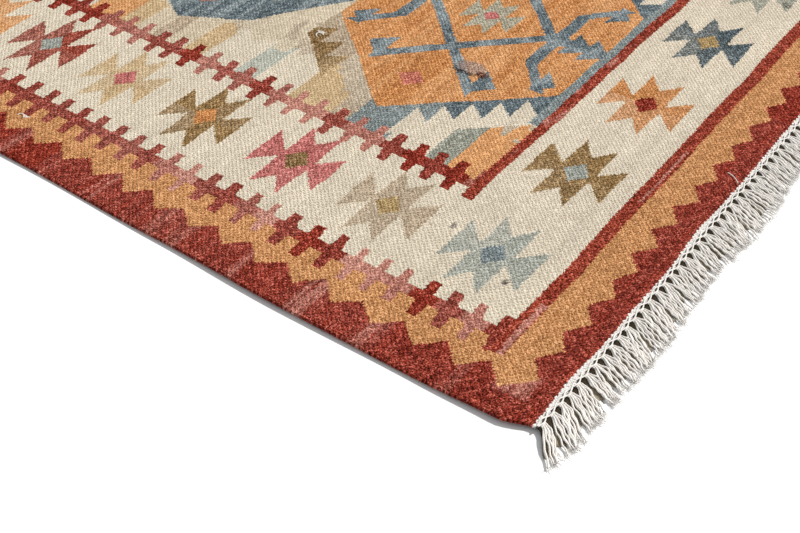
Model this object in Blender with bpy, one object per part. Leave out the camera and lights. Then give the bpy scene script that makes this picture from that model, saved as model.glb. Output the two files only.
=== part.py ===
"""A kilim rug lying on a floor: one flat-woven cloth and the knotted fringe along each of its two ends.

Frame: origin on the floor under the middle of the rug, +X across the width, +Y along the length, +Z up.
The end at -Y is the near end. All sizes are in metres.
"""

import math

import bmesh
import bpy

# Driving dimensions of the cloth
WIDTH = 1.600
LENGTH = 2.500
THICKNESS = 0.0050
HEADING_DEPTH = 0.012
HEADING_THICKNESS = 0.0032
HEADING_SLOPE = 0.004
SELVEDGE_ROUND = 0.005
SELVEDGE_DROP = 0.0018
COLUMNS = 34
ROWS = 56

# Driving dimensions of the fringe
GAP = 0.0003
BUNDLES = 74
SPINE_DEPTH = 0.005
SHOULDER_REACH = 0.013
FRINGE_REACH = 0.058
FRINGE_THICKNESS = 0.0030
TIP_THICKNESS = 0.0022
NECK_SHARE = 0.50
SHOULDER_SHARE = 0.74
TIP_SHARE = 0.88
LEAN = math.radians(27.0)
CORNER_LEAN = 0.010
CORNER_REACH = 0.090
LENGTH_SWAY = 0.004
SWAY_WAVE = 0.31

# How far each selvedge runs inside the full width, by distance from the near end
INSET_TABLE = (
    # distance, left inset, right inset
    (0.000, 0.018, 0.018),
    (0.050, 0.004, 0.012),
    (0.160, 0.001, 0.006),
    (0.390, 0.000, 0.002),
    (0.620, 0.006, 0.000),
    (0.930, 0.013, 0.004),
    (1.250, 0.016, 0.009),
    (1.600, 0.012, 0.006),
    (1.950, 0.004, 0.000),
    (2.300, 0.001, 0.003),
    (2.450, 0.006, 0.008),
    (2.500, 0.018, 0.018),
)

# Where the cloth stands off the floor: a soft mound over each place
LIFT_TABLE = (
    # x, y, reach in x, reach in y, height
    (-0.800, -1.250, 0.200, 0.240, 0.0050),
    (-0.800, -0.820, 0.110, 0.420, 0.0035),
    (-0.800, -0.180, 0.080, 0.360, 0.0022),
    (-0.300, -1.250, 0.300, 0.070, 0.0016),
    (0.420, -1.250, 0.340, 0.080, 0.0022),
    (0.800, -0.500, 0.090, 0.450, 0.0025),
    (0.800, 0.700, 0.100, 0.380, 0.0020),
    (-0.800, 0.900, 0.090, 0.300, 0.0024),
    (0.300, 1.250, 0.360, 0.080, 0.0020),
)

# Finishes: name, colour and roughness
WOOL = ("wool", (0.36, 0.13, 0.07, 1.0), 0.92)
COTTON = ("cotton", (0.80, 0.77, 0.70, 1.0), 0.90)


def clear_scene():
    """Removes every object that is already there."""
    for thing in list(bpy.data.objects):
        bpy.data.objects.remove(thing, do_unlink=True)


def finish(name, colour, roughness):
    """A plain Principled material for fibre."""
    material = bpy.data.materials.new(name)
    material.use_nodes = True
    shader = material.node_tree.nodes["Principled BSDF"]
    shader.inputs["Base Color"].default_value = colour
    shader.inputs["Roughness"].default_value = roughness
    shader.inputs["Metallic"].default_value = 0.0
    return material


def ease(t):
    """A smooth step from 0 to 1."""
    t = min(max(t, 0.0), 1.0)
    return t * t * (3.0 - 2.0 * t)


def inset(side, along):
    """The inset of the left (-1) or right (+1) selvedge at a distance from the near end."""
    column = 1 if side < 0 else 2
    for low, high in zip(INSET_TABLE, INSET_TABLE[1:]):
        if along <= high[0]:
            share = ease((along - low[0]) / (high[0] - low[0]))
            return low[column] + share * (high[column] - low[column])
    return INSET_TABLE[-1][column]


def lift(x, y):
    """Height of the cloth's underside above the floor: the sum of the soft mounds over the place."""
    height = 0.0
    for centre_x, centre_y, reach_x, reach_y, top in LIFT_TABLE:
        away = math.hypot((x - centre_x) / reach_x, (y - centre_y) / reach_y)
        height += top * ease(1.0 - away)
    return height


def selvedge(which, y):
    """X of the left (-1) or right (+1) selvedge at a place along the length."""
    return which * (WIDTH / 2.0 - inset(which, y + LENGTH / 2.0))


def stations(total, edges, count):
    """Places from 0 to total: the given distances in from both ends, and equal steps between them."""
    inner = edges[-1]
    steps = count - 2 * (len(edges) - 1)
    middle = [inner + (total - 2.0 * inner) * k / steps for k in range(1, steps)]
    return list(edges) + middle + [total - edge for edge in reversed(edges)]


def counting_grid(across, along):
    """A flat grid of cells whose points sit at whole numbers, from (0, 0) to (across, along)."""
    sheet = bmesh.new()
    bmesh.ops.create_grid(sheet, x_segments=across, y_segments=along, size=0.5)
    for point in sheet.verts:
        point.co = (round((point.co.x + 0.5) * across), round((point.co.y + 0.5) * along), 0.0)
    return sheet


def thicken(sheet):
    """Closes a flat sheet into a slab: the sheet is its underside, and each copied point rises by 1."""
    raised = bmesh.ops.extrude_face_region(sheet, geom=list(sheet.faces), use_keep_orig=True)
    tops = [item for item in raised["geom"] if isinstance(item, bmesh.types.BMVert)]
    bmesh.ops.translate(sheet, verts=tops, vec=(0.0, 0.0, 1.0))


def place(sheet, rule):
    """Moves each point of a counting slab to the place its rule gives for (column, row, is it on top)."""
    for point in sheet.verts:
        point.co = rule(round(point.co.x), round(point.co.y), point.co.z > 0.5)


def add_object(name, sheet, material, collection):
    """Puts a slab into a named object with its material."""
    bmesh.ops.recalc_face_normals(sheet, faces=list(sheet.faces))
    if sheet.calc_volume(signed=True) < 0.0:
        bmesh.ops.reverse_faces(sheet, faces=list(sheet.faces))
    mesh = bpy.data.meshes.new(name)
    sheet.to_mesh(mesh)
    sheet.free()
    mesh.materials.append(material)
    collection.objects.link(bpy.data.objects.new(name, mesh))


def build_cloth(material, collection):
    """The cloth: a slab between the selvedges, thin along its two headings and rounded at its sides."""
    across = stations(1.0, (0.0, SELVEDGE_ROUND / WIDTH), COLUMNS)
    along = stations(LENGTH, (0.0, HEADING_DEPTH, HEADING_DEPTH + HEADING_SLOPE), ROWS)
    heading_rows = (0, 1, ROWS - 1, ROWS)

    def rule(column, row, on_top):
        y = along[row] - LENGTH / 2.0
        left = selvedge(-1, y)
        x = left + (selvedge(+1, y) - left) * across[column]
        z = lift(x, y)
        if on_top:
            z += HEADING_THICKNESS if row in heading_rows else THICKNESS
            z -= SELVEDGE_DROP if column in (0, COLUMNS) else 0.0
        return x, y, z

    sheet = counting_grid(COLUMNS, ROWS)
    thicken(sheet)
    place(sheet, rule)
    add_object("cloth", sheet, material, collection)


def comb_outline():
    """A counting sheet of the comb: a spine one row deep, and two more rows outward for every bundle."""
    sheet = counting_grid(2 * BUNDLES - 1, 1)
    for row in (1, 2):
        sheet.edges.ensure_lookup_table()
        roots = [
            edge
            for edge in sheet.edges
            if all(round(v.co.y) == row for v in edge.verts) and round(min(v.co.x for v in edge.verts)) % 2 == 0
        ]
        grown = bmesh.ops.extrude_edge_only(sheet, edges=roots)
        tips = [item for item in grown["geom"] if isinstance(item, bmesh.types.BMVert)]
        bmesh.ops.translate(sheet, verts=tips, vec=(0.0, 1.0, 0.0))
    return sheet


def build_fringe(name, end, material, collection):
    """The comb along the near (-1) or far (+1) end: each bundle is necked at the spine, then fans and leans."""
    edge_y = end * LENGTH / 2.0
    half_span = selvedge(+1, edge_y)
    pitch = 2.0 * half_span / BUNDLES
    half_widths = [pitch * share / 2.0 for share in (NECK_SHARE, NECK_SHARE, SHOULDER_SHARE, TIP_SHARE)]
    reaches = (0.0, SPINE_DEPTH, SHOULDER_REACH, FRINGE_REACH)
    lift_shares = (1.0, 1.0, 0.45, 0.0)

    def rule(column, row, on_top):
        centre = pitch * (column // 2 + 0.5) - half_span
        reach = reaches[row]
        lean = max(reach - SPINE_DEPTH, 0.0) * math.tan(LEAN)
        if row == 3:
            reach += LENGTH_SWAY * math.sin(2.0 * math.pi * centre / SWAY_WAVE)
            lean += CORNER_LEAN * math.exp(-(((centre + half_span) / CORNER_REACH) ** 2))
        x = centre - lean + half_widths[row] * (1 if column % 2 else -1)
        z = lift(-end * centre, edge_y) * lift_shares[row]
        if on_top:
            z += TIP_THICKNESS if row == 3 else FRINGE_THICKNESS
        return -end * x, edge_y + end * (GAP + reach), z

    sheet = comb_outline()
    thicken(sheet)
    place(sheet, rule)
    add_object(name, sheet, material, collection)


def main():
    """Builds the rug in a collection of its own."""
    clear_scene()
    collection = bpy.data.collections.new("Kilim Rug")
    bpy.context.scene.collection.children.link(collection)
    wool = finish(*WOOL)
    cotton = finish(*COTTON)
    build_cloth(wool, collection)
    build_fringe("fringe_near", -1, cotton, collection)
    build_fringe("fringe_far", +1, cotton, collection)


main()
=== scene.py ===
"""The looks of a kilim rug: weft-faced wool in dyed yarns, white cotton headings and knotted cord fringes.

The design is worked out in millimetres on the loom's own grid, so colours meet in steps from bead to bead.
"""

import math

import bpy
import numpy as np
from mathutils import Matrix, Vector


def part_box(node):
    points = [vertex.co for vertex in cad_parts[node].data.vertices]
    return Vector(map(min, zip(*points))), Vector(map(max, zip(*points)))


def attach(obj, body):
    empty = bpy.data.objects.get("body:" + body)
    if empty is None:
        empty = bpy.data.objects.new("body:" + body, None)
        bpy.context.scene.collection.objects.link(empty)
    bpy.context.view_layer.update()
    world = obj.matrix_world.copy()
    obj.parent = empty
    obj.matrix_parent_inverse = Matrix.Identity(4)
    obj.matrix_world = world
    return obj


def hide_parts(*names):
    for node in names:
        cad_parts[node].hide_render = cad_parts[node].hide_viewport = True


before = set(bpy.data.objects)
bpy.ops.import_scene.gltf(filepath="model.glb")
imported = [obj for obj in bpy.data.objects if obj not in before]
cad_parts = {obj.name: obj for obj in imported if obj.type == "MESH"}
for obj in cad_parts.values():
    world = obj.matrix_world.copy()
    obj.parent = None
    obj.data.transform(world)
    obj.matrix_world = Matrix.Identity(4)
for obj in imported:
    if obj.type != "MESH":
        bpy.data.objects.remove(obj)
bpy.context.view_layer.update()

MM = 0.001

# The cloth's sizes, read off its part in model.glb
cloth_low, cloth_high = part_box("cloth")
HALF_LENGTH = (cloth_high[1] - cloth_low[1]) / 2.0
LENGTH_MM = 2.0 * HALF_LENGTH / MM

# The loom
WARP = 4.1
STRAND = 2.6
FULL_TURN = 6.2832


def dye(red, green, blue):
    """A yarn colour given as display values from 0 to 255, as a linear colour."""
    shares = np.array([red, green, blue]) / 255.0
    linear = np.where(shares <= 0.04045, shares / 12.92, ((shares + 0.055) / 1.055) ** 2.4)
    return (*linear.tolist(), 1.0)


RED = dye(150, 60, 42)
PALE_RED = dye(200, 138, 122)
MAUVE = dye(208, 153, 136)
ORANGE = dye(221, 165, 112)
CREAM = dye(229, 217, 197)
SLATE = dye(86, 98, 103)
INK = dye(102, 114, 119)
PALE_INK = dye(158, 167, 169)
POWDER = dye(160, 163, 154)
SAGE = dye(161, 162, 148)
OLIVE = dye(152, 121, 78)
ROSE = dye(195, 117, 111)
TAUPE = dye(194, 175, 151)
STRAW = dye(210, 183, 143)
HEART = dye(178, 171, 150)
BEIGE = dye(219, 204, 179)
OCHRE = dye(179, 152, 106)
COTTON = dye(233, 228, 222)
HEADING = dye(230, 227, 222)
# The next three colours are painted shade: in the heading's slits, at the roots of the cords, and over the
# inner cords under the fringe.
DEEP_SHADE = dye(46, 40, 34)
UNDER_COTTON_SHADE = dye(150, 140, 122)
UNDER_SHADE = dye(58, 50, 38)
RED_DEEP = dye(138, 46, 31)
SAGE_STAR = dye(174, 176, 166)
DENIM = dye(129, 139, 141)
POWDER_BLUE = dye(140, 149, 148)
PALE_SAGE = dye(194, 195, 182)
OLIVE_DARK = dye(140, 111, 72)
DUSTY_ROSE = dye(200, 122, 102)
DEEP_ORANGE = dye(205, 142, 86)
ORANGE_SIDE = dye(205, 149, 99)
DUSTY = dye(200, 184, 162)
CREAM_FIELD = dye(222, 208, 184)
BURNT_ORANGE = dye(190, 122, 68)
LOOM_MAP = "loom"


# ---------------------------------------------------------------- shader arithmetic


class Term:
    """A number that varies over the cloth. Plain arithmetic on terms adds Math nodes to their tree."""

    def __init__(self, tree, socket):
        self.tree = tree
        self.socket = socket

    def math(self, operation, *others):
        """One Math node that takes this term first."""
        node = self.tree.nodes.new("ShaderNodeMath")
        node.operation = operation
        for entry, value in zip(node.inputs, (self, *others)):
            feed(self.tree, value, entry)
        return Term(self.tree, node.outputs[0])

    def __add__(self, other):
        return self.math("ADD", other)

    def __sub__(self, other):
        return self.math("SUBTRACT", other)

    def __mul__(self, other):
        return self.math("MULTIPLY", other)

    def __truediv__(self, other):
        return self.math("DIVIDE", other)

    def __rsub__(self, other):
        return self.math("MULTIPLY_ADD", -1.0, other)

    __radd__ = __add__
    __rmul__ = __mul__

    def __and__(self, other):
        return self.math("MULTIPLY", other)

    def __or__(self, other):
        return self.math("MAXIMUM", other)

    def __invert__(self):
        return self.math("MULTIPLY_ADD", -1.0, 1.0)

    def __lt__(self, other):
        return self.math("LESS_THAN", other)

    def __gt__(self, other):
        return self.math("GREATER_THAN", other)

    def size(self):
        """The term without its sign."""
        return self.math("ABSOLUTE")

    def least(self, other):
        """The lower of two terms."""
        return self.math("MINIMUM", other)

    def whole(self):
        """The term rounded down."""
        return self.math("FLOOR")

    def part(self):
        """What is left over a whole number."""
        return self.math("FRACT")

    def turn(self, period):
        """The remainder after whole periods, never negative."""
        return self.math("FLOORED_MODULO", period)

    def fade(self, low, high):
        """A smooth step from 0 at low to 1 at high."""
        node = self.tree.nodes.new("ShaderNodeMapRange")
        node.interpolation_type = "SMOOTHSTEP"
        for place, value in ((0, self), (1, low), (2, high), (3, 0.0), (4, 1.0)):
            feed(self.tree, value, node.inputs[place])
        return Term(self.tree, node.outputs[0])

    def drawn(self, *points):
        """A value read off straight lines through (place, value) points, level beyond the first and the
        last."""
        places, values = zip(*points)
        bottom, top = min(values), max(values)
        run, rise = places[-1] - places[0], top - bottom
        node = self.tree.nodes.new("ShaderNodeFloatCurve")
        feed(self.tree, (self - places[0]) / run, node.inputs["Value"])
        curve = node.mapping.curves[0]
        while len(curve.points) < len(points):
            curve.points.new(0.5, 0.5)
        for knot, place, value in zip(curve.points, places, values):
            knot.location = ((place - places[0]) / run, (value - bottom) / rise)
            knot.handle_type = "VECTOR"
        node.mapping.extend = "HORIZONTAL"
        node.mapping.update()
        return Term(self.tree, node.outputs[0]) * rise + bottom


def feed(tree, value, entry):
    """Links a term or socket into an input, or sets the input to a plain value."""
    if isinstance(value, Term):
        tree.links.new(value.socket, entry)
    elif isinstance(value, bpy.types.NodeSocket):
        tree.links.new(value, entry)
    else:
        entry.default_value = value


def over(tree, under, colour, mask):
    """One yarn colour laid over another where the mask is 1."""
    node = tree.nodes.new("ShaderNodeMix")
    node.data_type = "RGBA"
    feed(tree, mask, node.inputs[0])
    feed(tree, under, node.inputs[6])
    feed(tree, colour, node.inputs[7])
    return node.outputs[2]


def picked(tree, share, colours):
    """A colour picked from a row of equal steps by a share from 0 to 1."""
    node = tree.nodes.new("ShaderNodeValToRGB")
    ramp = node.color_ramp
    ramp.interpolation = "CONSTANT"
    while len(ramp.elements) < len(colours):
        ramp.elements.new(1.0)
    for step, colour in enumerate(colours):
        ramp.elements[step].position = step / len(colours)
        ramp.elements[step].color = colour
    feed(tree, share, node.inputs[0])
    return node.outputs[0]


def stepped(tree, term, rows, end, blend="CONSTANT"):
    """A colour picked by place: each row gives (where it starts, its colour), and the last runs to the
    end."""
    node = tree.nodes.new("ShaderNodeValToRGB")
    ramp = node.color_ramp
    ramp.interpolation = blend
    start = rows[0][0]
    while len(ramp.elements) < len(rows):
        ramp.elements.new(1.0)
    for element, (place, colour) in zip(ramp.elements, rows):
        element.position = (place - start) / (end - start)
        element.color = colour
    feed(tree, (term - start) / (end - start), node.inputs[0])
    return node.outputs[0]


def parts(tree, point):
    """The first two parts of a place: how far across, and how far along."""
    split = tree.nodes.new("ShaderNodeSeparateXYZ")
    tree.links.new(point, split.inputs[0])
    return Term(tree, split.outputs[0]), Term(tree, split.outputs[1])


def flat_point(tree, across, along):
    """A vector from two terms, for noises that lie in the cloth."""
    node = tree.nodes.new("ShaderNodeCombineXYZ")
    feed(tree, across, node.inputs[0])
    feed(tree, along, node.inputs[1])
    return node.outputs[0]


def cloudy(tree, point, scale=1.0, detail=2.0):
    """Soft noise from 0 to 1 over a flat point."""
    node = tree.nodes.new("ShaderNodeTexNoise")
    node.noise_dimensions = "2D"
    feed(tree, point, node.inputs["Vector"])
    node.inputs["Scale"].default_value = scale
    node.inputs["Detail"].default_value = detail
    node.inputs["Roughness"].default_value = 0.6
    return Term(tree, node.outputs[0])


def mottled(tree, across, along, scale, detail):
    """Soft noise over a place given by its two parts."""
    return cloudy(tree, flat_point(tree, across, along), scale, detail)


def chance(tree, across, along):
    """An even random number from 0 to 1 for each whole place."""
    node = tree.nodes.new("ShaderNodeTexWhiteNoise")
    node.noise_dimensions = "2D"
    feed(tree, flat_point(tree, across, along), node.inputs["Vector"])
    return Term(tree, node.outputs["Value"])


def new_group(name, inputs, outputs):
    """A shader node group with named float or colour sockets. Gives the tree, its inputs by name and
    its output node."""
    tree = bpy.data.node_groups.new(name, "ShaderNodeTree")
    for label, kind in inputs:
        tree.interface.new_socket(label, in_out="INPUT", socket_type=kind)
    for label, kind in outputs:
        tree.interface.new_socket(label, in_out="OUTPUT", socket_type=kind)
    source = tree.nodes.new("NodeGroupInput")
    return tree, source.outputs, tree.nodes.new("NodeGroupOutput").inputs


NUMBER = "NodeSocketFloat"
VECTOR = "NodeSocketVector"


def weave_group():
    """Weft-faced plain weave, in millimetres. Warp is the distance between warps, and Row the height of
    one weft strand. Every second rib starts half a row further on. Across and Along are the middle of
    the strand that covers the place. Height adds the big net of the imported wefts, a cosine each way
    round squares that stand on their corners, to the little round strands on each rib. Shade is an even
    random number, partly the net's and partly the strand's own."""
    tree, given, made = new_group(
        "weft beads",
        (("Place", VECTOR), ("Warp", NUMBER), ("Row", NUMBER)),
        (("Across", NUMBER), ("Along", NUMBER), ("Height", NUMBER), ("Shade", NUMBER)),
    )
    across, along = parts(tree, given["Place"])
    warp = Term(tree, given["Warp"])
    row = Term(tree, given["Row"])
    sway = cloudy(tree, given["Place"], 0.007, 1.0) - 0.5
    ripple = cloudy(tree, given["Place"], 0.11, 2.0) - 0.5
    lean = cloudy(tree, given["Place"], 0.15, 2.0) - 0.5
    across = across + lean * 4.4
    along = along + sway * 9.0 + ripple * 5.6
    ribs = across / warp
    rib = ribs.whole()
    odd = rib.turn(2.0)
    strands = along / row + odd * 0.5
    strand = strands.whole()
    feed(tree, (rib + 0.5) * warp, made["Across"])
    feed(tree, (strand + 0.5) * row - odd * 1.7, made["Along"])
    own = chance(tree, rib, strand)
    rising = (across + along) / warp * 0.5
    falling = (across - along) / warp * 0.5
    net = chance(tree, (rising + 0.5).whole(), (falling + 0.5).whole())
    feed(tree, own * 0.5 + net * 0.5, made["Shade"])
    waves = (rising * FULL_TURN).math("COSINE") + (falling * FULL_TURN).math("COSINE")
    over_rib = ribs.part() * 2.0 - 1.0
    over_strand = strands.part() * 2.0 - 1.0
    small = (1.0 - over_rib * over_rib) * (1.0 - over_strand * over_strand)
    feed(tree, waves * 0.14 + 0.31 + small * 0.39, made["Height"])
    return tree


WEAVE = weave_group()


# ---------------------------------------------------------------- the design, in millimetres

# Where the borders lie, in from the nearer selvedge or the nearer end
HALF_ACROSS = 782.0
HALF_ALONG = 1250.0
ORANGE_IN = 100.5
CREAM_IN = 311.0
INNER_STRIPE = (311.0, 329.5)
BLUE_LINE = (329.5, 345.0)
FIELD_SIDE = 359.5
STRIPE_MIDDLE = 111.2
STRIPE_HALF = 10.8
STRIPE_IN = 122.0
STRIPE_FROM_SIDE = 78.0
INNER_STRIPE_MIDDLE = 320.2
INNER_STRIPE_HALF = 9.3
INNER_STRIPE_FROM_SIDE = 322.0
BLUE_LINE_OUT = 241.0
WORN_UP_TO = 893.0
BAR_PITCH = 39.5

# Four medallions share the field's length, and each is drawn on a net of forty counts
MEDALLIONS = 4
MEDALLION_PITCH = 2.0 * (HALF_ALONG - BLUE_LINE[1]) / MEDALLIONS
FIRST_MEDALLION = BLUE_LINE[1] + MEDALLION_PITCH / 2.0
COUNT = MEDALLION_PITCH / 40.0

# The knotted bundles of the fringe, counted over the width
BUNDLES = 74
BUNDLE_PITCH_MM = 2.0 * HALF_ACROSS / BUNDLES

# How pale the yarn of each bar is, along the outer and the inner comb
OUTER_SHADES = (
    0.6, 0.15, 0.0, 0.6, 0.75, 0.85, 0.05, 0.0, 0.1, 0.9, 0.35, 0.1,
    0.2, 0.85, 0.5, 0.15, 0.3, 0.2, 0.2, 0.1, 0.15, 0.1, 0.1, 0.05,
)
INNER_SHADES = (
    0.0, 0.05, 0.0, 0.1, 0.6, 0.55, 0.15, 0.75, 0.8, 0.45,
    0.05, 0.35, 0.2, 0.6, 0.0, 0.15, 0.15, 0.55, 0.4, 0.3,
)

# Each comb: where its first bar lies, its spine, its pitch, its bars' paleness, and how far in it starts
COMBS = (
    (165.4, 110.6, 40.4, OUTER_SHADES, STRIPE_IN),
    (363.0, 359.5, BAR_PITCH, INNER_SHADES, BLUE_LINE[0]),
)

# Star yarns as (body, middle): near end, far end, left side and right side
STARS = (
    (SAGE_STAR, DENIM), (OLIVE, POWDER), (DEEP_ORANGE, RED_DEEP), (SLATE, OCHRE),
    (SAGE, ROSE), (RED_DEEP, POWDER_BLUE), (OLIVE, ORANGE), (SLATE, STRAW),
    (ROSE, OLIVE), (SAGE, SLATE), (ORANGE, RED), (SLATE, ROSE),
    (TAUPE, OCHRE), (ROSE, OLIVE_DARK), (OLIVE, DEEP_ORANGE), (STRAW, ROSE),
    (RED, POWDER), (ORANGE, OLIVE), (SLATE, CREAM), (SAGE, RED),
    (OLIVE, POWDER), (ROSE, OCHRE), (OLIVE, ORANGE), (SLATE, STRAW),
    (ORANGE, RED), (TAUPE, ROSE), (SAGE, SLATE), (RED, STRAW),
    (STRAW, OLIVE), (SLATE, ROSE), (ORANGE, POWDER), (OLIVE, SAGE),
)
END_STARS = (-542.0, -310.0, -86.0, 146.0, 370.0, 547.0)
SIDE_STARS = (-848.0, -667.0, -477.0, -291.5, -114.0, 49.0, 245.0, 441.0, 637.0, 833.0)
STAR_IN_END = 1030.0
STAR_IN_SIDE = 539.3

# The ground beside the medallions, from the near end: how many of the inner comb's bars high each block is
LEFT_BLOCKS = (
    (1, ORANGE), (1, SAGE), (2, CREAM), (2, POWDER_BLUE), (1, TAUPE), (2, STRAW),
    (2, CREAM), (1, PALE_SAGE), (2, CREAM), (1, STRAW), (1, BEIGE), (1, TAUPE),
    (1, BEIGE), (1, STRAW), (2, ORANGE), (1, CREAM), (2, SAGE), (2, CREAM),
    (1, POWDER_BLUE), (2, STRAW), (2, CREAM), (1, PALE_SAGE), (2, STRAW), (2, BEIGE),
    (1, ORANGE), (2, CREAM), (2, POWDER_BLUE), (1, STRAW), (2, SAGE), (2, CREAM),
)
RIGHT_BLOCKS = (
    (2, SAGE), (2, CREAM), (1, STRAW), (2, TAUPE), (2, ORANGE), (1, CREAM),
    (2, POWDER_BLUE), (2, STRAW), (1, BEIGE), (2, CREAM), (2, PALE_SAGE), (1, TAUPE),
    (2, ORANGE), (2, CREAM), (1, POWDER_BLUE), (2, STRAW), (2, BEIGE), (2, CREAM),
    (1, SAGE), (2, STRAW), (2, TAUPE), (2, CREAM), (1, ORANGE), (2, PALE_SAGE),
    (2, STRAW), (2, CREAM), (2, POWDER_BLUE),
)

# How pale the red of the outer band is, along the rug from the near end
RED_FADES = (
    (0.0, 0.08), (120.0, 0.05), (131.0, 0.45), (142.0, 0.05), (250.0, 0.05), (262.0, 0.8), (275.0, 0.7),
    (286.0, 0.1), (350.0, 0.1), (363.0, 0.8), (378.0, 1.0), (390.0, 0.1), (478.0, 0.05), (487.0, 0.6),
    (498.0, 0.1), (590.0, 0.1), (597.0, 0.6), (604.0, 0.2), (612.0, 0.45), (625.0, 0.1), (645.0, 0.45),
    (668.0, 0.15), (760.0, 0.1), (775.0, 0.65), (790.0, 0.1), (870.0, 0.1), (882.0, 0.45), (893.0, 0.05),
)


def saw(run):
    """A row of triangles: 1 at the middle of every whole number of run, 0 at its ends."""
    return 1.0 - (run.part() - 0.5).size() * 2.0


def red_frame(tree, across, along, side, end):
    """The red outer band. Its inner edge is a row of triangles, on the sides and on the ends."""
    run_end = (across + 718.0) / 64.2
    run_side = (along + 1175.1) / 66.6
    rise_end = saw(run_end) * ((chance(tree, run_end.whole(), 1.3) - 0.5) * 9.0 + 23.5)
    rise_side = saw(run_side) * ((chance(tree, run_side.whole(), 5.1) - 0.5) * 9.0 + 31.0)
    return (end < (rise_end + 38.5)) | (side < (rise_side + 27.5))


def comb(tree, along, start, inward, spine, pitch, shades):
    """A comb along the warp: a spine, and a bar across it at every pitch. A bar slants a little, its
    length and place are uneven, and the paler its yarn the thinner it is. Gives its mask and the
    paleness of its yarn."""
    run = (along - start) / pitch + 0.5
    index = run.whole()
    reach = inward - spine
    jitter = chance(tree, index, 3.7) - 0.5
    away = (run.part() - 0.5 + jitter * 0.1) * pitch - reach * 0.09
    ends = (chance(tree, index, 8.3) - 0.5) * 5.0
    turn = ((index + 0.5) / float(len(shades))).part()
    paleness = Term(tree, picked(tree, turn, [(s, s, s, 1.0) for s in shades]))
    thick = 10.6 - paleness * 2.6 - reach.size() * 0.075
    bars = (away.size() < thick) & (reach.size() < (ends + 36.5))
    return bars | (reach.size() < (ends * 0.3 + 10.5)), paleness


def nearest(place, middles, first, last):
    """The number of the nearest middle, and how far the place lies past it."""
    edges = [(low + high) / 2.0 for low, high in zip(middles, middles[1:])]
    rows = [first] + [(edge, i + 1.0) for i, edge in enumerate(edges)] + [last]
    number = place.drawn(*rows).whole()
    return number, place - number.drawn(*[(float(i), middle) for i, middle in enumerate(middles)])


def star_places(across, along, end):
    """The place in the nearest star and the star's number: 0 to 5 on the near end, then the far end,
    the left side and the right side. A star's middle is read off the list of middles by its number."""
    end_number, end_away = nearest(across, END_STARS, (-656.0, 0.0), (650.0, 5.9))
    end_high = along.size() - STAR_IN_END
    end_number = end_number + (along > 0.0) * 6.0
    side_number, side_high = nearest(along, SIDE_STARS, (-940.0, 0.0), (932.0, 9.9))
    side_away = across.size() - STAR_IN_SIDE
    side_number = side_number + (across > 0.0) * 10.0 + 12.0
    at_end = end < CREAM_IN
    away = side_away + at_end * (end_away - side_away)
    high = side_high + at_end * (end_high - side_high)
    number = side_number + at_end * (end_number - side_number)
    return away, high, number


def star_mask(away, high):
    """A star: a waisted middle that widens both ways, and past each side of it a triangle on its point."""
    outline = ((0.0, 46.4), (27.8, 83.5), (28.8, 12.0), (32.0, 12.0), (66.0, 46.4), (67.0, 0.0))
    return away.size() < high.size().drawn(*outline)


def foot(away, high, size):
    """A triangle on its base: as wide as it is short of its tip."""
    return (away.size() < (size - high)) & (high > 0.0)


def medallion_lines(away, up):
    """The line work inside a medallion, in counts out from its axis and up from its middle: two bars
    that cross, a foot at the end of the outer bar, an elbowed arm that ends in a foot, and a trunk with
    a barb every 3 counts."""
    cross = ((away - 11.0).size() - up).size() < 1.25
    lines = cross & (up < (11.0 - (away > 11.0) * 2.0))
    lines = lines | foot(away - 17.0, up - 8.0, 3.5)
    elbow = away.drawn((0.0, 12.0), (8.0, 12.0), (14.0, 17.0))
    lines = lines | (((up - elbow).size() < 1.0) & (away < 14.0))
    lines = lines | foot(away - 11.5, up - 15.5, 3.0)
    barb = ((up - 11.0) / 3.0).part()
    return lines | ((away < (3.5 - barb * 2.6)) & (up > 11.0))


def courses(blocks):
    """Where each block of the ground starts, and its yarn: a block is a whole number of bars high."""
    bars = np.cumsum([0] + [high for high, yarn in blocks[:-1]])
    starts = (BLUE_LINE[1] + bars * BAR_PITCH).tolist()
    return [(start, yarn) for start, (high, yarn) in zip(starts, blocks)]


def ground(tree, across, near_end):
    """The ground beside the medallions: blocks of yarn across the field, which follow one another up
    the rug."""
    left = stepped(tree, near_end, courses(LEFT_BLOCKS), LENGTH_MM)
    right = stepped(tree, near_end, courses(RIGHT_BLOCKS), LENGTH_MM)
    colour = over(tree, left, right, across > 0.0)
    wander = mottled(tree, across * 0.5, near_end, 0.018, 2.0)
    lean = (near_end / 150.0).part() * 40.0
    centre = (across.size() + wander * 160.0 + lean) < 396.0
    colour = over(tree, colour, DUSTY, centre & (wander > 0.52))
    return over(tree, colour, CREAM_FIELD, centre & ~(wander > 0.52) & (near_end > 700.0))


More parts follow.
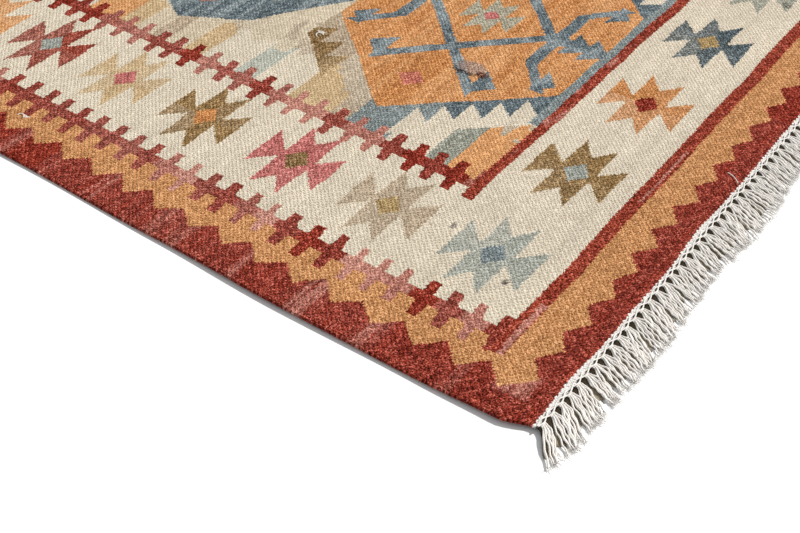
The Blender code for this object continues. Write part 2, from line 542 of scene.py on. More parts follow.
def medallions(tree, colour, across, along, near_end):
    """The medallions over the ground, every second one a cold one. Away is counts out from the axis of
    the rug, high is counts up from a medallion's middle, and beyond is counts past its edge."""
    run = (near_end - FIRST_MEDALLION) / MEDALLION_PITCH + 0.5
    number = run.whole().math("MAXIMUM", 0.0).least(3.0)
    rise = (run - number - 0.5) * MEDALLION_PITCH
    out = across.size()
    second = number.turn(2.0)
    away = out / COUNT
    high = rise / COUNT
    warm_edge = 31.0 - high.size() * 0.9
    cold_edge = high.size().drawn((0.0, 30.0), (10.0, 24.0), (20.0, 8.0))
    beyond = away - warm_edge - second * (cold_edge - warm_edge)
    inside = beyond < 0.0
    warm_side = ~second

    # Over the lower edge of a warm medallion: pale cloth, and blue teeth with flat feet
    lower = (high < 0.0) & warm_side
    colour = over(tree, colour, CREAM, (beyond < 9.0) & (high < -5.0) & lower)
    step = (high + 20.0) / 3.0
    shade = over(tree, INK, POWDER_BLUE, step.whole() > 3.5)
    colour = over(tree, colour, shade, (beyond < (6.0 - step.part() * 5.0)) & (high < -5.0) & lower)

    # Over the upper edge: a dusty strip, and brown teeth with flat feet that point to it
    upper = (high > 2.0) & warm_side
    soft = mottled(tree, across, along, 0.03, 2.0)
    colour = over(tree, colour, DUSTY, (beyond < (soft * 5.0 + 2.0)) & (high < 11.0) & upper)
    colour = over(tree, colour, TAUPE, (beyond < 8.0) & (high > 11.0) & upper)
    step = (high - 11.0) / 3.0
    band = (beyond > (step.part() * 5.0 + 1.5)) & (beyond < 8.5)
    shade = over(tree, OLIVE_DARK, STRAW, (0.7 - step * 0.5).fade(0.0, 0.8) * 0.6)
    colour = over(tree, colour, shade, band & (high > 11.0) & upper)

    # The medallion itself
    warm = mottled(tree, across * 0.08, along, 0.03, 3.0)
    fill = over(tree, ORANGE, DEEP_ORANGE, warm.fade(0.38, 0.66))
    burnt = mottled(tree, across * 0.06 + 300.0, along, 0.11, 2.0)
    fill = over(tree, fill, BURNT_ORANGE, burnt.fade(0.52, 0.68) * 0.5)
    deep = mottled(tree, across * 0.1 + 700.0, along, 0.05, 1.0)
    cold = over(tree, INK, PALE_INK, deep.fade(0.45, 0.7) * 0.7)
    cells = ((away - 9.0).size() / 8.0 + (high.size() - 9.0).size() / 6.5) < 1.0
    cells = cells & ((high.size() - (away * 0.3 + 6.0)).size() > 0.6)
    cold_fill = over(tree, cold, BEIGE, cells)
    fill = over(tree, fill, cold_fill, second)
    colour = over(tree, colour, fill, inside)
    blue = mottled(tree, across * 0.5, along + 900.0, 0.03, 1.0)
    ink = over(tree, INK, PALE_INK, blue.fade(0.40, 0.62) * 0.7)
    lines = medallion_lines(away, high.size())
    colour = over(tree, colour, ink, lines & inside & ~(second & (away > 16.0)))
    colour = over(tree, colour, DUSTY_ROSE, ((away - 22.0).size() + high.size()) < 2.2)
    colour = over(tree, colour, HEART, star_mask(across / 0.75, rise / 0.75))
    colour = over(tree, colour, ROSE, (away + high.size()) < 1.5)
    return colour


def star_border(tree, colour, across, along, side, end):
    """The cream border round the field: its blue line, its inner stripe and its stars."""
    out = across.size()
    border = (end < BLUE_LINE[1]) | (side < FIELD_SIDE)
    line = (end < BLUE_LINE[1]) & (out < BLUE_LINE_OUT)
    keep = border & ~((side > FIELD_SIDE) & (out > BLUE_LINE_OUT) & (end > INNER_STRIPE[1]))
    colour = over(tree, colour, CREAM, keep)
    colour = over(tree, colour, POWDER_BLUE, line & (end > INNER_STRIPE[0]))
    inner_stripe = ((end - INNER_STRIPE_MIDDLE).size() < INNER_STRIPE_HALF) & (side > INNER_STRIPE_FROM_SIDE)
    thread = mottled(tree, across * 0.25, along, 0.05, 1.0)
    stripe_red = over(tree, RED, PALE_RED, thread.fade(0.62, 0.72) * 0.7)
    colour = over(tree, colour, stripe_red, inner_stripe)
    away, high, number = star_places(across, along, end)
    share = (number + 0.5) / 32.0
    body = picked(tree, share, [entry[0] for entry in STARS])
    middle = picked(tree, share, [entry[1] for entry in STARS])
    arm = (away > 0.0) * 2.0 + (high > 0.0)
    light = chance(tree, number, arm + 2.0)
    body = over(tree, body, CREAM, light * light * 0.2)
    colour = over(tree, colour, body, star_mask(away, high))
    colour = over(tree, colour, middle, (away.size() / 26.3 + high.size() / 21.6) < 1.0)
    return colour


def edge_border(tree, colour, across, along, side, end):
    """The orange border with its stripe, the combs, and the red outer band with its wear."""
    near_end = along + HALF_ALONG
    colour = over(tree, colour, ORANGE_SIDE, (end < ORANGE_IN) | (side < ORANGE_IN))
    stripe = ((end - STRIPE_MIDDLE).size() < STRIPE_HALF) & (side > STRIPE_FROM_SIDE)
    colour = over(tree, colour, RED, stripe)
    run = mottled(tree, across * 0.25, end, 0.2, 2.0)
    pale = ((end - 106.0).size() < (run * 10.0)) & ((across + 648.0).size() < 58.0) & (along < 0.0)
    pale = pale | (((end - 107.0).size() < 1.5) & ((across + 241.0).size() < 78.0) & (along < 0.0))
    colour = over(tree, colour, MAUVE, pale * 0.62)
    for start, spine, pitch, shades, first in COMBS:
        bars, paleness = comb(tree, near_end, start, side, spine, pitch, shades)
        bar_yarn = over(tree, RED_DEEP, MAUVE, paleness)
        colour = over(tree, colour, bar_yarn, bars & (end > first))
    fades = stepped(tree, near_end, [(p, (s, s, s, 1.0)) for p, s in RED_FADES], LENGTH_MM, "LINEAR")
    streak = mottled(tree, across * 0.06, along, 0.16, 3.0)
    elsewhere = mottled(tree, (across > 0.0) * 90.0, near_end, 0.02, 2.0)
    elsewhere = elsewhere.fade(0.56, 0.70) * 0.8
    charted = (across < 0.0) & (near_end < WORN_UP_TO)
    fades = elsewhere + charted * (Term(tree, fades) - elsewhere)
    rubbed = 1.0 - ((side - 44.0).size() | (near_end - 58.0).size()) / 30.0
    fades = fades | (((across < 0.0) & (near_end < 100.0)) & rubbed.fade(0.0, 0.6)) * 0.9
    band = over(tree, RED_DEEP, PALE_RED, fades * streak.fade(0.25, 0.6))
    return over(tree, colour, band, red_frame(tree, across, along, side, end))


def rug_design(tree, across, along):
    """Every yarn colour of the rug at one bead, painted in the order of the weaver's blocks."""
    side = HALF_ACROSS - across.size()
    end = HALF_ALONG - along.size()
    near_end = along + HALF_ALONG
    colour = ground(tree, across, near_end)
    colour = medallions(tree, colour, across, along, near_end)
    colour = star_border(tree, colour, across, along, side, end)
    return edge_border(tree, colour, across, along, side, end)


def marks(tree, colour, across, along):
    """Small marks on the cloth: felted smudges, dark spots and pale knots, each a soft oval set in its
    place."""
    near_end = along + HALF_ALONG
    left = across + HALF_ACROSS
    spots = (
        (620.0, 507.0, 20.0, 30.0, dye(166, 144, 134), 0.8),
        (611.0, 482.0, 11.0, 12.0, dye(84, 40, 24), 0.9),
        (601.0, 514.0, 5.0, 26.0, dye(50, 44, 44), 0.8),
        (260.0, 301.0, 8.0, 5.0, dye(120, 110, 104), 0.8),
        (201.0, 173.0, 6.0, 5.0, dye(90, 82, 74), 0.8),
        (1129.0, 160.0, 10.0, 9.0, dye(96, 94, 84), 0.7),
        (557.0, 780.0, 5.0, 8.0, dye(240, 236, 228), 0.8),
        (70.0, 1005.0, 4.0, 7.0, dye(240, 236, 228), 0.8),
    )
    for place_across, place_along, wide, high, yarn, strength in spots:
        apart_across = (left - place_across) / wide
        apart_along = (near_end - place_along) / high
        apart = apart_across * apart_across + apart_along * apart_along
        colour = over(tree, colour, yarn, (1.0 - apart.fade(0.3, 1.3)) * strength)
    return colour


def fabric(name):
    """A new material, its tree and the loom's map in it."""
    material = bpy.data.materials.new(name)
    material.use_nodes = True
    tree = material.node_tree
    uv = tree.nodes.new("ShaderNodeUVMap")
    uv.uv_map = LOOM_MAP
    return material, tree, uv.outputs[0]


def finish(tree, colour, roughness, gloss, height, strength, distance):
    """Feeds a fabric's shader: its colour, a plain roughness and gloss, and a bump from the height."""
    shader = tree.nodes["Principled BSDF"]
    tree.links.new(colour, shader.inputs["Base Color"])
    shader.inputs["Roughness"].default_value = roughness
    shader.inputs["Specular IOR Level"].default_value = gloss
    bump = tree.nodes.new("ShaderNodeBump")
    bump.inputs["Strength"].default_value = strength
    bump.inputs["Distance"].default_value = distance
    feed(tree, height, bump.inputs["Height"])
    tree.links.new(bump.outputs[0], shader.inputs["Normal"])


def heading(tree, colour, along, loom):
    """The white cotton heading at each end, and painted shade in a dark lens at the slit between each two
    bundles of the fringe.
    """
    place, place_along = parts(tree, loom)
    beyond_end = HALF_ALONG - place_along.size()
    run = place / BUNDLE_PITCH_MM + 0.5
    own = chance(tree, run.whole(), 2.4)
    slit = (run.part() - 0.5) * BUNDLE_PITCH_MM
    beside = slit / 6.6
    above = (beyond_end - 0.8 - slit * 0.05 + own * 0.4) / 1.7
    lens = beside * beside + above * above
    colour = over(tree, colour, HEADING, (HALF_ALONG - along.size()) < 7.5)
    # Painted shade: the slit between two bundles, laid on the heading as a dark lens.
    return over(tree, colour, DEEP_SHADE, (1.0 - lens.fade(0.6, 1.5)) * (own * 0.2 + 0.8))


def wool_material():
    """Dyed wool: the design bead by bead, abrash along the weft, a random tone for each bead, paler flecks
    that are partly pale fibres and partly painted highlight, and painted shade in the pits between the
    beads."""
    material, tree, uv = fabric("dyed wool weave")
    scale = tree.nodes.new("ShaderNodeMapping")
    scale.inputs["Scale"].default_value = (1.0 / MM, 1.0 / MM, 1.0)
    tree.links.new(uv, scale.inputs["Vector"])
    weave = tree.nodes.new("ShaderNodeGroup")
    weave.node_tree = WEAVE
    weave.inputs["Warp"].default_value = WARP
    weave.inputs["Row"].default_value = STRAND
    tree.links.new(scale.outputs[0], weave.inputs["Place"])
    across = Term(tree, weave.outputs["Across"])
    along = Term(tree, weave.outputs["Along"])
    colour = rug_design(tree, across, along)
    colour = marks(tree, colour, across, along)

    bands = mottled(tree, across * 0.05, along, 0.035, 3.0)
    patches = mottled(tree, across, along, 0.012, 2.0)
    fibre = cloudy(tree, scale.outputs[0], 0.45, 3.0)
    height = Term(tree, weave.outputs["Height"])
    shade = Term(tree, weave.outputs["Shade"])
    grey = tree.nodes.new("ShaderNodeRGBToBW")
    tree.links.new(colour, grey.inputs[0])
    depth = 1.0 - Term(tree, grey.outputs[0])
    depth = depth * depth
    uneven = (shade - 0.5) * 0.9 + (fibre - 0.5) * 2.8
    # Paler flecks: partly the pale fibres of heathered yarn, partly painted highlight.
    pale_fibre_highlight = uneven.fade(0.0, 0.8) * (depth * 0.38 + 0.12)
    # A deeper, fuller copy of the yarn: the colour of the painted shade in the pits between beads.
    deep = toned(tree, colour, 1.9)
    colour = over(tree, colour, toned(tree, colour, 0.5), pale_fibre_highlight)
    # Noise that makes the painted pit shade uneven.
    pit_shade_wander = mottled(tree, across, along, 0.09, 2.0)
    pits = (height + pit_shade_wander * 0.5 - 0.18).fade(0.0, 0.6)
    dark = pits * 0.7 + uneven.fade(-0.6, 0.5) * 0.3
    # Painted shade: the colour turns to its deeper copy in the pits.
    colour = over(tree, deep, colour, dark * 0.9 + 0.1)
    level = uneven * (depth * 1.25 + 0.12) + bands * 0.26 + patches * 0.14 + 0.68
    # Painted shade: the level drops in the pits, most on dark yarns.
    level = level * (pits * (depth * 0.60 + 0.06) + (0.97 - depth * 0.41))
    level = level.math("MAXIMUM", 0.12)
    fleck = (shade > 0.985) * 0.25
    colour = shaded(tree, colour, level - fleck * level)
    colour = heading(tree, colour, along, scale.outputs[0])
    finish(tree, colour, 0.92, 0.05, height + fibre * 0.6 + shade * 0.1, 1.0, 0.0022)
    return material


def blended(tree, under, upper, way):
    """Two colours put together in the way named, in full."""
    node = tree.nodes.new("ShaderNodeMix")
    node.data_type = "RGBA"
    node.blend_type = way
    node.inputs[0].default_value = 1.0
    feed(tree, under, node.inputs[6])
    feed(tree, upper, node.inputs[7])
    return node.outputs[2]


def toned(tree, colour, power):
    """A yarn colour raised to a power: below 1 paler, above 1 deeper and fuller."""
    node = tree.nodes.new("ShaderNodeGamma")
    feed(tree, colour, node.inputs[0])
    node.inputs[1].default_value = power
    return node.outputs[0]


def shaded(tree, colour, level):
    """A colour made darker or lighter by a level near 1."""
    grey = tree.nodes.new("ShaderNodeCombineColor")
    for entry in grey.inputs:
        feed(tree, level, entry)
    return blended(tree, colour, grey.outputs[0], "MULTIPLY")


def cotton_material():
    """Undyed cotton cord: a slanting twist with painted shade in its grooves, fine fibre, and painted shade
    over the first millimetres where a cord leaves the heading.
    """
    material, tree, uv = fabric("white cotton cord")
    turn, reach = parts(tree, uv)
    along = reach / (4.2 * MM)
    twist = saw(turn * 2.0 + along)
    fibre = mottled(tree, turn * 6.0, along * 6.0, 1.0, 2.0)
    # Painted shade: the white cotton is darker in the grooves of its twist.
    level = twist.math("SQRT") * 0.16 + fibre * 0.12 + 0.80
    # Painted shade over the first 1.2 to 2.4 mm along each tube, where a cord leaves the heading.
    root_shade = 1.0 - reach.fade(0.0012, 0.0024)
    colour = shaded(tree, over(tree, COTTON, DEEP_SHADE, root_shade * 0.9), level)
    finish(tree, colour, 0.85, 0.2, twist.math("SQRT") + fibre * 0.3, 0.6, 0.0003)
    return material


def shaded_inner_material():
    """The inner cords of the fringe: cotton painted dark as the deep shade under the long cords, darkest
    where it runs in under the heading."""
    material, tree, uv = fabric("shaded inner cotton")
    across, reach = [term / MM for term in parts(tree, uv)]
    streak = mottled(tree, across, reach * 0.12, 0.7, 2.0)
    blotch = mottled(tree, across, reach, 0.06, 2.0)
    # Painted shade: darkest near the heading, easing off further out.
    painted_shade_eases = (reach + streak * 10.0 - 5.0).fade(9.0, 24.0)
    colour = over(tree, UNDER_SHADE, UNDER_COTTON_SHADE, painted_shade_eases)
    # The low level darkens it further: painted shade.
    level = streak * 0.9 + blotch * 0.5 + 0.30
    finish(tree, shaded(tree, colour, level), 0.95, 0.05, streak, 0.7, 0.0006)
    return material


# ---------------------------------------------------------------- the cloth

THICKNESS = 0.0050
HEADING_DEPTH = 0.012
HEADING_THICKNESS = 0.0032
HEADING_SLOPE = 0.004
SELVEDGE_ROUND = 0.005
SELVEDGE_DROP = 0.0018
FLAT_WIDTH = 1.600
COLUMNS = 150
ROWS = 230

# Each row is a distance from the near end, and how far the left and the right selvedge draw in there
INSET_TABLE = np.array(
    (
        (0.000, 0.018, 0.018),
        (0.050, 0.004, 0.012),
        (0.160, 0.001, 0.006),
        (0.390, 0.000, 0.002),
        (0.620, 0.006, 0.000),
        (0.930, 0.013, 0.004),
        (1.250, 0.016, 0.009),
        (1.600, 0.012, 0.006),
        (1.950, 0.004, 0.000),
        (2.300, 0.001, 0.003),
        (2.450, 0.006, 0.008),
        (2.500, 0.018, 0.018),
    )
)

# Soft troughs and ridges, each with its middle, its reach across and along, and its height
LIFT_TABLE = (
    (-0.800, -1.250, 0.200, 0.240, 0.0050),
    (-0.800, -0.820, 0.110, 0.420, 0.0035),
    (-0.800, -0.180, 0.080, 0.360, 0.0022),
    (-0.300, -1.250, 0.300, 0.070, 0.0016),
    (0.420, -1.250, 0.340, 0.080, 0.0022),
    (0.800, -0.500, 0.090, 0.450, 0.0025),
    (0.800, 0.700, 0.100, 0.380, 0.0020),
    (-0.800, 0.900, 0.090, 0.300, 0.0024),
    (0.300, 1.250, 0.360, 0.080, 0.0020),
)


def ease(share):
    """A smooth step: 3 t squared less 2 t cubed, with t held from 0 to 1."""
    share = np.clip(share, 0.0, 1.0)
    return share * share * (3.0 - 2.0 * share)


def inset(column, length_along):
    """How far a selvedge draws in: the table's rows with a smooth step between each two."""
    places = INSET_TABLE[:, 0]
    values = INSET_TABLE[:, column]
    row = np.clip(np.searchsorted(places, length_along, side="right") - 1, 0, len(places) - 2)
    share = (length_along - places[row]) / (places[row + 1] - places[row])
    return values[row] + (values[row + 1] - values[row]) * ease(share)


def lift(x, y):
    """How far the underside stands off the floor: the sum of soft oval hills."""
    total = np.zeros(np.broadcast(x, y).shape)
    for hill_x, hill_y, reach_x, reach_y, height in LIFT_TABLE:
        total = total + height * ease(1.0 - np.hypot((x - hill_x) / reach_x, (y - hill_y) / reach_y))
    return total


def mesh_piece(name, points, faces, material, corner_uv=None):
    """A smooth-shaded mesh object from points and faces, with a map for the faces' corners."""
    mesh = bpy.data.meshes.new(name)
    mesh.from_pydata(points.tolist(), [], faces)
    if corner_uv is not None:
        layer = mesh.uv_layers.new(name=LOOM_MAP)
        layer.data.foreach_set("uv", corner_uv.astype(np.float32).ravel())
    mesh.polygons.foreach_set("use_smooth", np.ones(len(mesh.polygons), dtype=bool))
    mesh.materials.append(material)
    mesh.validate()
    mesh.update()
    piece = bpy.data.objects.new(name, mesh)
    bpy.context.scene.collection.objects.link(piece)
    return piece


def cloth_surface(material):
    """The rug's cloth: a flat ring, the section of the cloth, carried along the length. The ring runs
    over the top, round the right selvedge, back along the underside and round the left selvedge. Each
    row's width is what the selvedges leave, the warps keep their distance near the selvedges and give
    way in the middle of each half, the underside follows the soft hills and the top is a thickness
    above it, thinner on the cotton headings."""
    along = np.linspace(-HALF_LENGTH, HALF_LENGTH, ROWS + 1)
    across = np.linspace(-FLAT_WIDTH / 2.0, FLAT_WIDTH / 2.0, COLUMNS + 1)
    edge = SELVEDGE_ROUND
    extra = edge * np.array([0.2, 0.5, 1.0])
    inner = np.sort(np.concatenate((across, across[0] + extra, across[-1] - extra)))
    grid_u, grid_v = np.meshgrid(inner, along)
    half = FLAT_WIDTH / 2.0
    drawn_left = inset(1, along + HALF_LENGTH)[:, None]
    drawn_right = inset(2, along + HALF_LENGTH)[:, None]
    give_left = 1.0 - ease((grid_u + half - 0.30) / 0.5)
    give_right = 1.0 - ease((half - grid_u - 0.30) / 0.5)
    x = grid_u + drawn_left * give_left - drawn_right * give_right
    y = grid_v
    to_end = HALF_LENGTH - np.abs(grid_v)
    share = ease((to_end - HEADING_DEPTH) / HEADING_SLOPE)
    thick = HEADING_THICKNESS + (THICKNESS - HEADING_THICKNESS) * share
    to_side = half - np.abs(grid_u)
    from_round = 1.0 - np.clip(to_side / edge, 0.0, 1.0)
    drop = SELVEDGE_DROP * (1.0 - np.sqrt(np.clip(1.0 - from_round**2, 0.0, 1.0)))
    under = lift(x, y)
    wave_along = np.sin(grid_v * 41.0 + 2.0 * np.sin(grid_u * 9.0))
    wave_across = np.sin(grid_u * 33.0 + 1.3 * np.sin(grid_v * 7.0))
    cockle = 0.00035 * wave_along * wave_across * ease(to_side / 0.03) * ease(to_end / 0.03)
    top = np.stack((x, y, under + thick - drop + cockle), axis=-1)
    bottom = np.stack((x, y, under + drop * 0.4), axis=-1)
    count = inner.size
    ring = np.concatenate((top, bottom[:, ::-1]), axis=1)
    points = ring.reshape(-1, 3)
    size = 2 * count
    rows, columns = np.meshgrid(np.arange(ROWS), np.arange(size), indexing="ij")
    after = (columns + 1) % size
    this_row = rows * size
    next_row = this_row + size
    corners = (this_row + columns, this_row + after, next_row + after, next_row + columns)
    faces = np.stack(corners, axis=-1).reshape(-1, 4)
    pair = np.arange(count - 1)
    low_cap = np.stack((pair, size - 1 - pair, size - 2 - pair, pair + 1), axis=-1)
    high_cap = low_cap[:, ::-1] + ROWS * size
    faces = np.concatenate((faces, low_cap, high_cap))
    loom_u = np.concatenate((grid_u, grid_u[:, ::-1]), axis=1)
    loom_v = np.concatenate((grid_v, grid_v[:, ::-1]), axis=1)
    loom = np.stack((loom_u, loom_v), axis=-1).reshape(-1, 2)
    return mesh_piece("kilim_cloth", points, faces.tolist(), material, loom[faces.ravel()])


# ---------------------------------------------------------------- the fringes

CORDS = 6
HALF_SPAN = HALF_ACROSS * MM
BUNDLE_PITCH = 2.0 * HALF_SPAN / BUNDLES
SPINE_DEPTH = 0.005
NECK_REACH = 0.0050
NECK_SPREAD = 0.00158
FRINGE_REACH = 0.058
LEAN = math.radians(27.0)
CORNER_LEAN = 0.010
CORNER_SWEEP = 0.010
LENGTH_SWAY = 0.004
SWAY_WAVE = 0.31

# Loose threads on the cloth: where each starts, its heading, how far it turns, and its length
THREADS = (
    (-0.196, -1.2435, math.radians(40.0), math.radians(28.0), 0.034),
    (-0.232, -0.478, math.radians(10.0), math.radians(260.0), 0.030),
    (-0.707, -0.243, math.radians(-20.0), math.radians(200.0), 0.022),
)


def tubes(paths, radii, sides, spin=0.0):
    """Tubes, each closed by a flat cap at either end. Paths is an array of cords by points by three, and
    radii is cords by points. Round each point of a path a circle of corners is set square to the path's run.
    A corner is the point plus radius times (cosine times the sideways direction plus sine times the upward
    one). Gives points, faces and UV."""
    cords, steps = paths.shape[:2]
    run = np.gradient(paths, axis=1)
    run = run / np.linalg.norm(run, axis=-1, keepdims=True)
    up = np.array([0.0, 0.0, 1.0]) - run * run[..., 2:3]
    up = up / np.maximum(np.linalg.norm(up, axis=-1, keepdims=True), 1e-6)
    sideways = np.cross(run, up)
    angle = np.arange(sides) / sides * 2.0 * np.pi + spin
    circle = sideways[:, :, None] * np.cos(angle)[:, None] + up[:, :, None] * np.sin(angle)[:, None]
    points = paths[:, :, None] + circle * radii[:, :, None, None]
    index = np.arange(cords * steps * sides).reshape(cords, steps, sides)
    here = index[:, :-1]
    there = index[:, 1:]
    quads = np.stack((here, np.roll(here, -1, 2), np.roll(there, -1, 2), there), axis=-1).reshape(-1, 4)
    length = np.linalg.norm(np.diff(paths, axis=1), axis=-1)
    length = np.concatenate((np.zeros((cords, 1)), np.cumsum(length, axis=1)), axis=1)
    turn = np.arange(sides) / sides
    u = np.broadcast_to(turn, (cords, steps - 1, sides))
    v = np.broadcast_to(length[:, :-1, None], u.shape)
    w = np.broadcast_to(length[:, 1:, None], u.shape)
    uv = np.stack((u, v, u + 1.0 / sides, v, u + 1.0 / sides, w, u, w), axis=-1).reshape(-1, 2)
    caps = np.concatenate((index[:, 0, ::-1], index[:, -1]))
    faces = quads.tolist() + caps.tolist()
    cap_uv = np.zeros((caps.size, 2))
    return points.reshape(-1, 3), faces, np.concatenate((uv, cap_uv))


def turned(points, which):
    """The near end's points as they are, or turned half a turn about the middle of the rug for the far
    end."""
    if which < 0:
        return points
    return points * np.array([-1.0, -1.0, 1.0])


def leant(centre, reach, total, lean):
    """How far a strand has gone sideways at a reach from the heading: its lean past the twined cord,
    and at the corner a tassel that sweeps out past the selvedge."""
    from_corner = centre + HALF_SPAN
    sweep = CORNER_LEAN * np.exp(-((from_corner / 0.090) ** 2))
    sweep = sweep + CORNER_SWEEP * np.exp(-((from_corner / 0.030) ** 2))
    return np.maximum(reach - SPINE_DEPTH, 0.0) * np.tan(lean) + sweep * (reach / total) ** 1.3


def fringe_length(centre):
    """How long the fringe is at a place: a slow wave, shorter at the corner tassel."""
    wave = LENGTH_SWAY * np.sin(2.0 * np.pi * centre / SWAY_WAVE)
    return FRINGE_REACH - 0.004 + wave - 0.013 * np.exp(-(((centre + HALF_SPAN) / 0.030) ** 2))


def cord_paths(random):
    """The cords of every bundle on the near end. A cord leaves the heading, passes the twined cord in a
    tight neck with the others of its bundle and then fans out until it meets the next bundle. Its
    sideways place is the bundle's middle plus its number times the spread, less the lean, plus a wave
    that grows past the neck."""
    steps = 20
    centre = (BUNDLE_PITCH * (np.arange(BUNDLES) + 0.5) - HALF_SPAN)[:, None, None]
    place = (np.arange(CORDS) - (CORDS - 1) / 2.0)[None, :, None]
    place = place + random.normal(0.0, 0.13, (BUNDLES, CORDS, 1))
    share = np.linspace(0.0, 1.0, steps)[None, None, :]
    total = fringe_length(centre) + random.normal(0.0, 0.0026, (BUNDLES, CORDS, 1))
    reach = total * share
    open_by = 0.0040 * random.uniform(0.85, 1.05, (BUNDLES, 1, 1))
    spread = NECK_SPREAD + (open_by - NECK_SPREAD) * ease((reach - NECK_REACH) / 0.0125)
    lean = LEAN + random.normal(0.0, math.radians(4.5), (BUNDLES, 1, 1))
    lean = lean + random.normal(0.0, math.radians(3.0), (BUNDLES, CORDS, 1))
    phase = random.uniform(0.0, 2.0 * np.pi, (BUNDLES, CORDS, 1))
    wave = random.uniform(0.012, 0.021, (BUNDLES, CORDS, 1))
    fade = ease((reach - 0.009) / 0.012)
    angle = 2.0 * np.pi * reach / wave + phase
    x = centre + place * spread - leant(centre, reach, total, lean) + fade * 0.0010 * np.sin(angle)
    y = -HALF_LENGTH - reach + fade * 0.0005 * np.cos(angle)
    root = lift(x, np.full_like(x, -HALF_LENGTH))
    layer = random.uniform(0.0, 1.0, (BUNDLES, CORDS, 1))
    odd = (np.arange(CORDS) % 2)[None, :, None]
    high = root + 0.0018 + 0.0012 * ease((reach - 0.003) / 0.004) * odd
    floor = 0.0024 + 0.0030 * layer * (1.0 - 0.7 * share)
    hump = 0.0014 * fade * (0.5 + 0.5 * np.sin(angle * 0.6 + phase)) * (1.0 - share)
    z = high + (floor - high) * ease((reach - 0.006) / 0.034) + hump
    return np.stack((x, y, z), axis=-1).reshape(-1, steps, 3)


def cord_mesh(name, which, seed, material):
    """All cords of one fringe, thinning at their tips."""
    random = np.random.default_rng(seed)
    paths = cord_paths(random)
    share = np.linspace(0.0, 1.0, paths.shape[1])
    thin = 1.0 - 0.4 * ease((share - 0.88) / 0.12)
    radius = random.uniform(0.00126, 0.00152, (paths.shape[0], 1)) * thin
    points, faces, uv = tubes(paths, radius, 7)
    return mesh_piece(name, turned(points, which), faces, material, uv), paths


def twined_mesh(name, which, material):
    """The cord twined along the heading: two strands, each a flat helix about the edge of the cloth,
    that cross between every two bundles and part round each bundle."""
    steps = 1185
    along = np.linspace(-HALF_SPAN, HALF_SPAN, steps)
    turn = np.pi * (along + HALF_SPAN) / BUNDLE_PITCH - np.pi / 2.0
    root = lift(along, np.full_like(along, -HALF_LENGTH))
    strands = []
    for phase in (0.0, np.pi):
        y = -HALF_LENGTH + 0.0004 + 0.0027 * np.cos(turn + phase)
        z = root + 0.0040 + 0.0009 * np.sin(turn * 2.0 + phase)
        strands.append(np.stack((along, y, z), axis=-1))
    paths = np.stack(strands)
    points, faces, uv = tubes(paths, np.full(paths.shape[:2], 0.00108), 6)
    return mesh_piece(name, turned(points, which), faces, material, uv)


def shaded_inner_mesh(name, which, seed, material):
    """The short inner cords that lie close together under the long ones: a sheet whose top is a ridge for
    each cord and a groove between each two, with its end drawn out to a point at every ridge. It closes over
    a flat back. Dark in its material, the sheet is painted shade that fills the gaps between the long cords."""
    random = np.random.default_rng(seed)
    strands = BUNDLES * 8
    columns = 2 * strands + 1
    rows = 10
    place = np.linspace(-HALF_SPAN + 0.001, HALF_SPAN - 0.001, columns)[:, None]
    ridge = (np.arange(columns) % 2)[:, None]
    length = fringe_length(place) - 0.009 + random.normal(0.0, 0.0024, (columns, 1)) - 0.006 * (1 - ridge)
    share = np.linspace(0.0, 1.0, rows)[None, :]
    start = 0.0004
    reach = start + (length - start) * share
    bundle = np.floor((place + HALF_SPAN) / BUNDLE_PITCH).astype(int)
    own = random.normal(0.0, math.radians(3.0), BUNDLES)[np.clip(bundle, 0, BUNDLES - 1)]
    waver = 0.0006 * np.sin(reach * 500.0 + place * 900.0) * share
    x = place - leant(place, reach, length, LEAN + own * 0.4) + waver
    y = -HALF_LENGTH - reach
    root = lift(x, np.full_like(x, -HALF_LENGTH))
    fall = ease((reach - 0.004) / 0.030)
    under = root * (1.0 - fall) + 0.0002
    over_it = under + 0.0004 + (0.0011 * ridge + 0.0002) * (1.0 - 0.6 * share)
    top = np.stack((x, y, over_it), axis=-1)
    back = np.stack((x, y, np.broadcast_to(under, x.shape)), axis=-1)
    index = np.arange(columns * rows).reshape(columns, rows)
    corners = (index[:-1, :-1], index[:-1, 1:], index[1:, 1:], index[1:, :-1])
    quads = np.stack(corners, axis=-1).reshape(-1, 4)
    rim = np.concatenate((index[:, 0], index[-1, 1:], index[-2::-1, -1], index[0, -2:0:-1]))
    following = np.roll(rim, -1)
    count = columns * rows
    wall = np.stack((rim, following, following + count, rim + count), axis=-1)
    faces = np.concatenate((quads, quads[:, ::-1] + count, wall))
    points = np.concatenate((top.reshape(-1, 3), back.reshape(-1, 3)))
    loom = np.stack((np.broadcast_to(place, x.shape), reach), axis=-1).reshape(-1, 2)
    loom = np.concatenate((loom, loom))
    return mesh_piece(name, turned(points, which), faces.tolist(), material, loom[faces.ravel()])


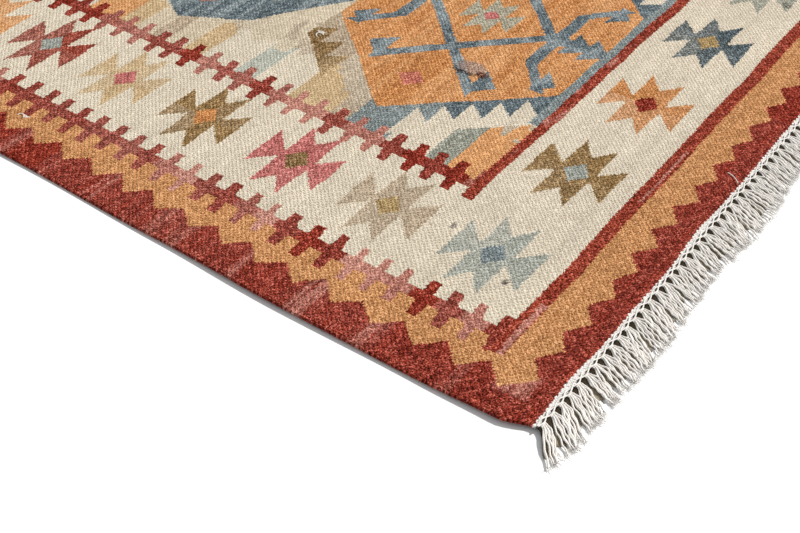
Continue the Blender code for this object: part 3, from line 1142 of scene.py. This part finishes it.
def frayed_mesh(name, which, seed, paths, material):
    """Loose fibres at the tips: from a point near the end of each cord a few hair-thin tubes fan out
    and curl."""
    random = np.random.default_rng(seed)
    fibres = 8
    steps = 5
    tip = np.repeat(paths[:, -2], fibres, axis=0)
    run = np.repeat(paths[:, -1] - paths[:, -4], fibres, axis=0)
    run = run / np.linalg.norm(run, axis=-1, keepdims=True)
    count = tip.shape[0]
    share = np.linspace(0.0, 1.0, steps)[None, :, None]
    length = random.uniform(0.005, 0.012, (count, 1, 1))
    fan = random.normal(0.0, 0.38, (count, 1, 1))
    square = np.stack((run[:, 1], -run[:, 0], np.zeros(count)), axis=-1)[:, None]
    curl = random.normal(0.0, 0.35, (count, 1, 1))
    offset = random.normal(0.0, 0.0006, (count, 1, 1))
    aside = offset + length * (fan * share + curl * share**2)
    path = tip[:, None] + run[:, None] * length * share + square * aside
    rise = random.uniform(-0.6, 1.0, (count, 1, 1)) * 0.0014
    path[..., 2:] = np.maximum(path[..., 2:] + rise * share * 1.4 - 0.0012 * share, 0.0004)
    radius = np.broadcast_to(0.00032 * (1.0 - 0.6 * share[..., 0]), (count, steps))
    points, faces, uv = tubes(path, radius, 3)
    return mesh_piece(name, turned(points, which), faces, material, uv)


def thread_mesh(name, starts, material):
    """Loose threads lying on the cloth: each leaves its start at an angle and curls, its turn growing
    evenly with its length, so its path is the running sum of short steps in that direction."""
    steps = 16
    paths = []
    for x, y, angle, curl, length in starts:
        heading = angle + curl * np.linspace(0.0, 1.0, steps)
        step = length / steps
        path_x = x + np.cumsum(np.cos(heading)) * step
        path_y = y + np.cumsum(np.sin(heading)) * step
        high = lift(path_x, path_y) + THICKNESS + 0.0006 + 0.0016 * np.sin(np.linspace(0.0, np.pi, steps))
        paths.append(np.stack((path_x, path_y, high), axis=-1))
    paths = np.stack(paths)
    points, faces, uv = tubes(paths, np.full(paths.shape[:2], 0.0008), 6)
    return mesh_piece(name, points, faces, material, uv)


# ---------------------------------------------------------------- the studio


def studio():
    """A plain pale floor, a soft sun from the far right, an even pale sky and the camera."""
    scene = bpy.context.scene
    mesh = bpy.data.meshes.new("studio_floor")
    reach = 9.0
    corners = [(-reach, -reach, 0.0), (reach, -reach, 0.0), (reach, reach, 0.0), (-reach, reach, 0.0)]
    mesh.from_pydata(corners, [], [(0, 1, 2, 3)])
    floor = bpy.data.objects.new("studio_floor", mesh)
    scene.collection.objects.link(floor)
    material = bpy.data.materials.new("pale floor")
    material.use_nodes = True
    shader = material.node_tree.nodes["Principled BSDF"]
    shader.inputs["Base Color"].default_value = (0.93, 0.93, 0.93, 1.0)
    shader.inputs["Roughness"].default_value = 0.9
    mesh.materials.append(material)

    lamp = bpy.data.lights.new("soft sun", "SUN")
    lamp.energy = 3.9
    lamp.angle = math.radians(5.0)
    lamp.color = (1.0, 0.985, 0.96)
    sun = bpy.data.objects.new("soft sun", lamp)
    toward = Vector((0.87, -0.48, math.tan(math.radians(43.0))))
    sun.rotation_euler = toward.to_track_quat("Z", "Y").to_euler()
    scene.collection.objects.link(sun)

    world = bpy.data.worlds.new("even sky")
    world.use_nodes = True
    world.node_tree.nodes["Background"].inputs[0].default_value = (0.97, 0.985, 1.0, 1.0)
    world.node_tree.nodes["Background"].inputs[1].default_value = 0.45
    scene.world = world

    lens = bpy.data.cameras.new("studio camera")
    lens.lens = 57.375
    lens.sensor_width = 36.0
    lens.clip_end = 100.0
    camera = bpy.data.objects.new("studio camera", lens)
    camera.location = (-1.7077, -1.7170, 1.182)
    camera.rotation_euler = Vector((0.6040, 0.4389, -0.6652)).to_track_quat("-Z", "Y").to_euler()
    scene.collection.objects.link(camera)
    scene.camera = camera
    scene.view_settings.view_transform = "Standard"


studio()
wool = wool_material()
cotton = cotton_material()
shaded_inner_cotton = shaded_inner_material()
cloth = cloth_surface(wool)
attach(cloth, "root")
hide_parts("cloth")
for end_name, which, seed in (("near", -1, 11), ("far", 1, 29)):
    cords, paths = cord_mesh("fringe_cords_" + end_name, which, seed, cotton)
    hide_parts("fringe_" + end_name)
    twined = twined_mesh("twined_cord_" + end_name, which, cotton)
    # The dark sheet of inner cords: painted shade under the long cords.
    inner = shaded_inner_mesh("shaded_inner_cords_" + end_name, which, seed + 2, shaded_inner_cotton)
    frayed = frayed_mesh("frayed_tips_" + end_name, which, seed + 1, paths, cotton)
    for piece in (cords, twined, inner, frayed):
        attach(piece, "root")
threads = thread_mesh("loose_threads", THREADS, cotton)
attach(threads, "root")
